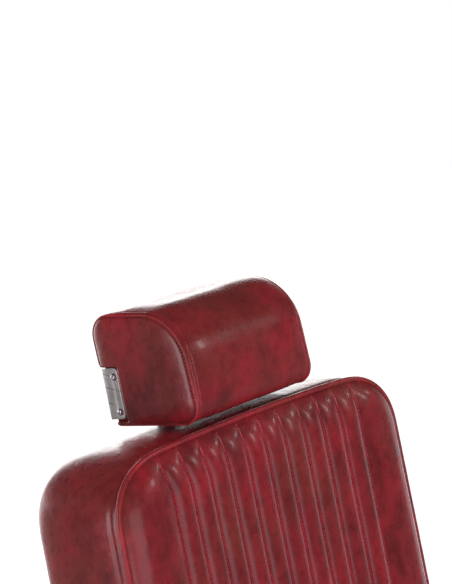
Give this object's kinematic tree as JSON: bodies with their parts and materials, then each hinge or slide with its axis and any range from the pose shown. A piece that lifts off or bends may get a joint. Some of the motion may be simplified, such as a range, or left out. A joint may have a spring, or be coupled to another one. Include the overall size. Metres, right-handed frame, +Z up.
{
  "type": "hydraulic barber chair",
  "caption": "Hydraulic barber chair with padded seat, fluted reclining back, sliding and tilting headrest, chrome arms, leg rest, footplate and round pump base.",
  "frame": {"origin": "on the floor, at the centre of the base plate's underside, on the pump's axis", "axes": "+Z up along the pump's axis; the sitter faces -Y; +X is to the sitter's left, the viewer's right when the chair is seen from the front"},
  "size_m": [0.68, 1.1462, 1.215],
  "materials": {
    "chrome": "polished",
    "polished_aluminium": "polished",
    "satin_steel": "satin",
    "bright_fasteners": "gloss",
    "padded_leatherette": "satin",
    "leatherette": "satin",
    "plywood": "matte",
    "black_rubber": "matte",
    "black_plastic": "satin"
  },
  "bodies": {
    "base": {"base_plate": "chrome", "base_edge_ring": "black_rubber", "pump_housing": "satin_steel", "pump_cover": "chrome", "gland_nut": "chrome", "rod_wiper": "black_rubber", "flange_bolt_1": "bright_fasteners", "flange_bolt_2": "bright_fasteners", "flange_bolt_3": "bright_fasteners", "flange_bolt_4": "bright_fasteners", "pedal_pin": "bright_fasteners"},
    "pedal": {"pedal_lever": "chrome", "pedal_pad": "black_rubber"},
    "lift": {"piston_rod": "chrome", "turntable_lower": "satin_steel", "thrust_bearing": "bright_fasteners", "spindle_nut": "bright_fasteners"},
    "seat": {"turntable_upper": "satin_steel", "seat_frame": "satin_steel", "seat_pan": "plywood", "seat_cushion": "padded_leatherette", "arm_frame_left": "chrome", "arm_frame_right": "chrome", "arm_pad_left": "padded_leatherette", "arm_pad_right": "padded_leatherette", "hinge_bracket_left": "satin_steel", "hinge_bracket_right": "satin_steel", "legrest_rod": "bright_fasteners", "strut_cylinder": "satin_steel"},
    "recline_lever": {"recline_lever": "satin_steel", "lever_grip": "black_plastic"},
    "strut_rod": {"strut_rod": "chrome"},
    "backrest": {"backrest_cushion": "padded_leatherette", "back_board": "plywood", "back_panel": "leatherette", "hinge_strap_left": "satin_steel", "hinge_strap_right": "satin_steel", "recline_pin_left": "bright_fasteners", "recline_pin_right": "bright_fasteners", "torque_tube": "satin_steel", "strut_pin": "bright_fasteners", "headrest_receiver": "chrome"},
    "knob": {"lock_knob": "black_plastic"},
    "headrest_post": {"headrest_post": "chrome", "tilt_pin": "bright_fasteners"},
    "headrest": {"headrest_cushion": "padded_leatherette", "headrest_bracket": "satin_steel", "bracket_screw_left_1": "bright_fasteners", "bracket_screw_left_2": "bright_fasteners", "bracket_screw_right_1": "bright_fasteners", "bracket_screw_right_2": "bright_fasteners"},
    "legrest": {"legrest_arm_left": "satin_steel", "legrest_arm_right": "satin_steel", "calf_board": "plywood", "calf_pad": "padded_leatherette", "footplate_rod": "bright_fasteners"},
    "footplate": {"footplate": "polished_aluminium", "footplate_mat": "black_rubber"}
  },
  "joints": [
    {"name": "pedal_press", "type": "hinge", "parent": "base", "child": "pedal", "pos_m": [0, 0.095, 0.092], "axis": [-1, 0, 0], "range_deg": [0, 16], "stiffness_Nm_per_rad": 6, "springref_deg": -28.65},
    {"name": "lift_slide", "type": "slide", "parent": "base", "child": "lift", "axis": [0, 0, 1], "range_m": [0, 0.14]},
    {"name": "swivel", "type": "hinge", "parent": "lift", "child": "seat", "pos_m": [0, 0, 0.32], "axis": [0, 0, 1], "continuous": true},
    {"name": "lever_pull", "type": "hinge", "parent": "seat", "child": "recline_lever", "pos_m": [0.265, 0.004, 0.352], "axis": [-1, 0, 0], "range_deg": [0, 10], "stiffness_Nm_per_rad": 1, "springref_deg": -17.19},
    {"name": "recline", "type": "hinge", "parent": "seat", "child": "backrest", "pos_m": [0, 0.2, 0.4], "axis": [-1, 0, 0], "range_deg": [0, 45]},
    {"name": "strut_extension", "type": "slide", "parent": "seat", "child": "strut_rod", "axis": [0, -1, 0], "range_m": [0, 0.0766]},
    {"name": "knob_turn", "type": "hinge", "parent": "backrest", "child": "knob", "pos_m": [0, 0.44839, 0.96574], "axis": [0, 0.9679, -0.2512], "continuous": true},
    {"name": "headrest_height", "type": "slide", "parent": "backrest", "child": "headrest_post", "axis": [0, 0.2512, 0.9679], "range_m": [0, 0.11]},
    {"name": "headrest_tilt", "type": "hinge", "parent": "headrest_post", "child": "headrest", "pos_m": [0, 0.50314, 1.09824], "axis": [-1, 0, 0], "range_deg": [0, 35]},
    {"name": "legrest_raise", "type": "hinge", "parent": "seat", "child": "legrest", "pos_m": [0, -0.335, 0.348], "axis": [-1, 0, 0], "range_deg": [0, 55]},
    {"name": "footplate_flip", "type": "hinge", "parent": "legrest", "child": "footplate", "pos_m": [0, -0.455, 0.15], "axis": [-1, 0, 0], "range_deg": [0, 75]}
  ],
  "couplings": [
    {"joint": "strut_extension", "follows": "recline", "m_per_rad": 0.09745}
  ]
}
